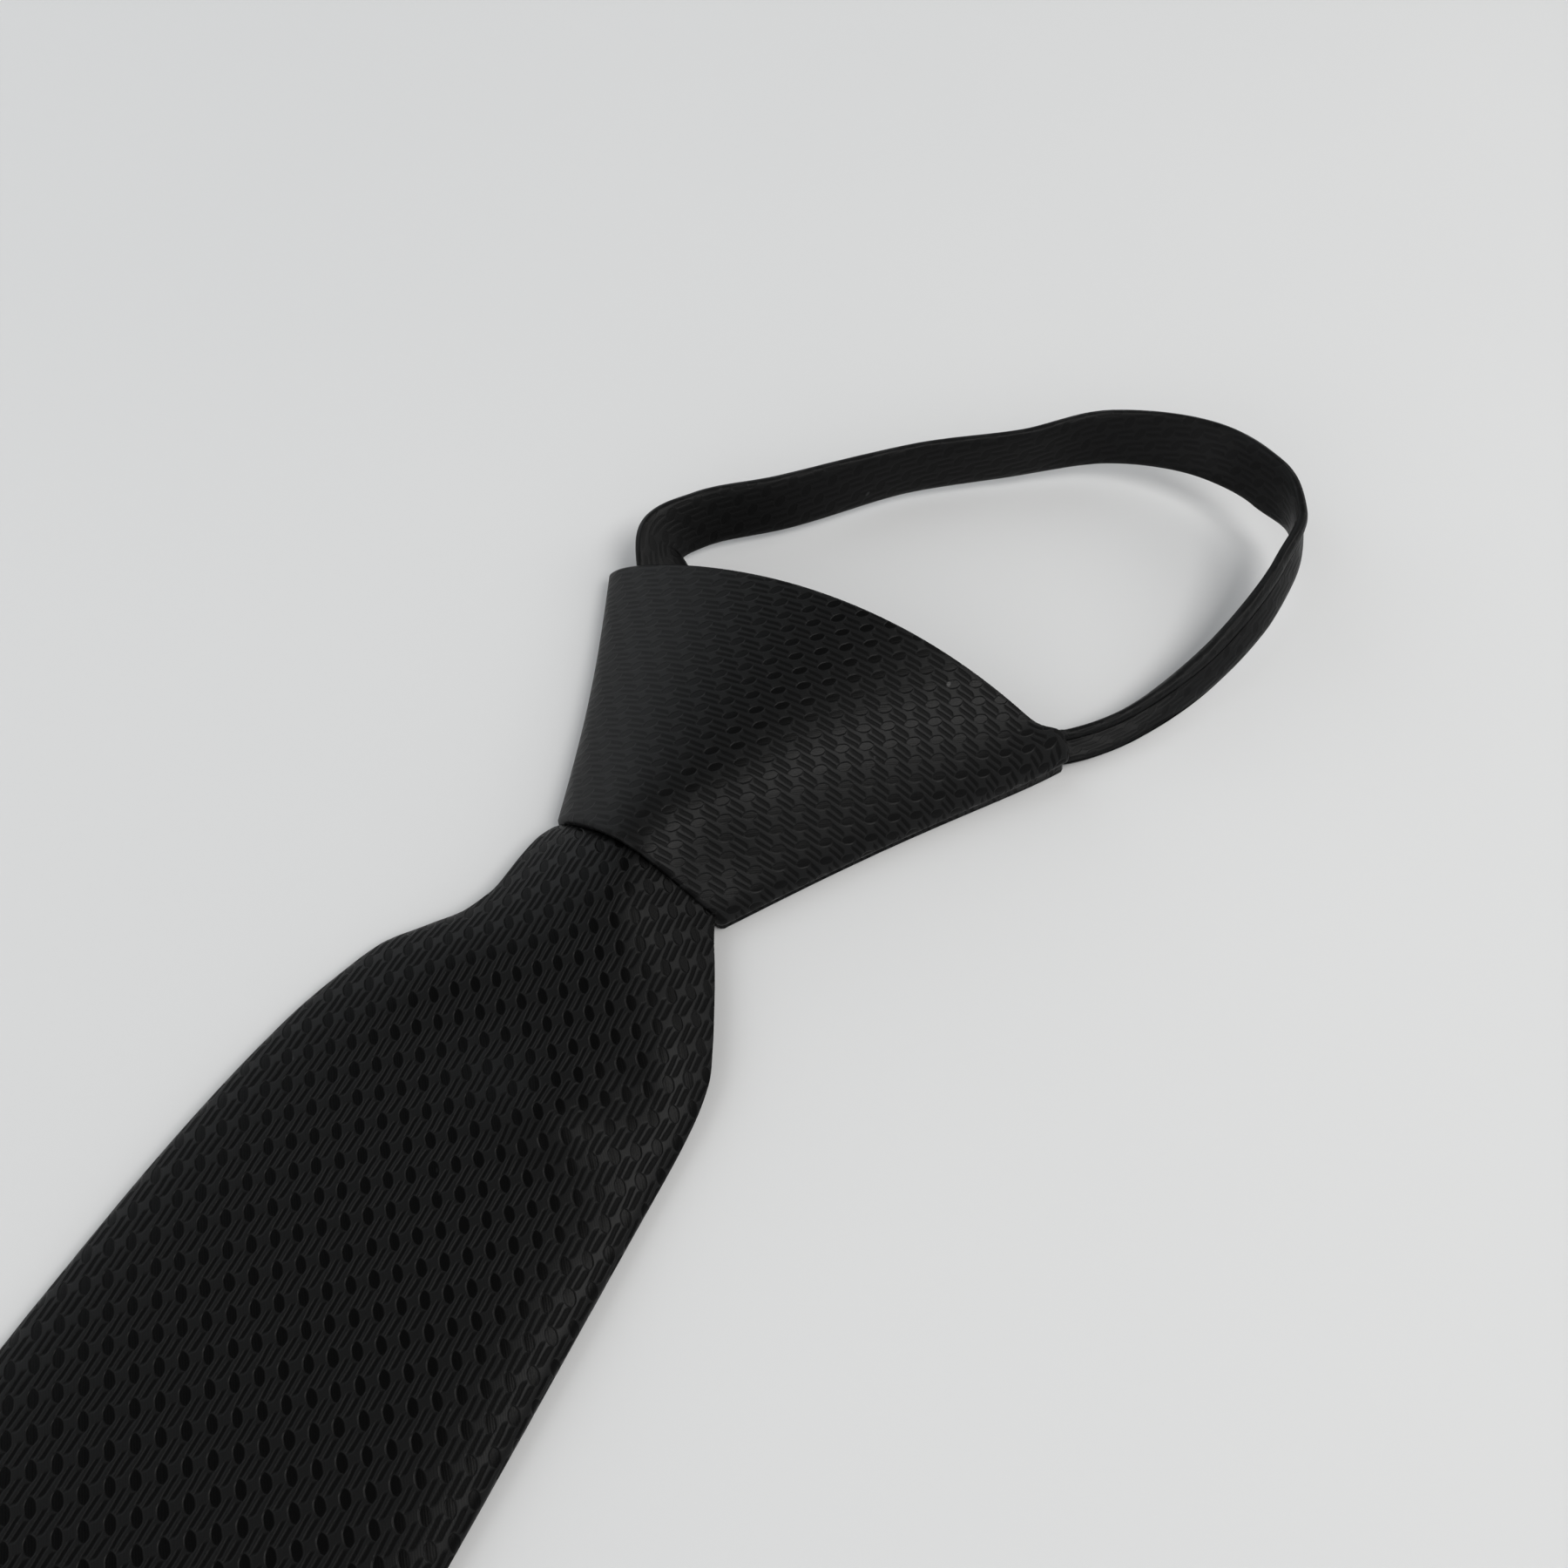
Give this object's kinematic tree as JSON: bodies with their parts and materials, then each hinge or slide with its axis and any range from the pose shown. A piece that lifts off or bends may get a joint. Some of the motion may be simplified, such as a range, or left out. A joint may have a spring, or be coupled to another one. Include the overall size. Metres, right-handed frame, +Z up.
{
  "type": "zipper tie",
  "caption": "Ready-tied necktie lying face up: a flaring folded knot, a narrow neck band in a standing loop closed by a zip hidden in the knot, and a flat pointed blade.",
  "frame": {"origin": "middle of the tie's footprint, on the surface that it lies on", "axes": "+Y along the tie from the blade's point to the neck loop, +Z up out of the tie's face, +X to the right seen from the blade's point"},
  "size_m": [0.1282, 0.5866, 0.021],
  "materials": {
    "blade_cloth": "black jacquard with satin ribbons round sunk dark eyes",
    "knot_cloth": "black jacquard with satin ribbons round sunk dark eyes",
    "band_cloth": "the same black jacquard, folded into a narrow strip",
    "zip_tape": "black woven zip tape with a closed coil"
  },
  "bodies": {
    "root": {"blade": "blade_cloth", "knot_wrap": "knot_cloth", "neck_band": "band_cloth", "zip": "zip_tape"}
  },
  "joints": []
}
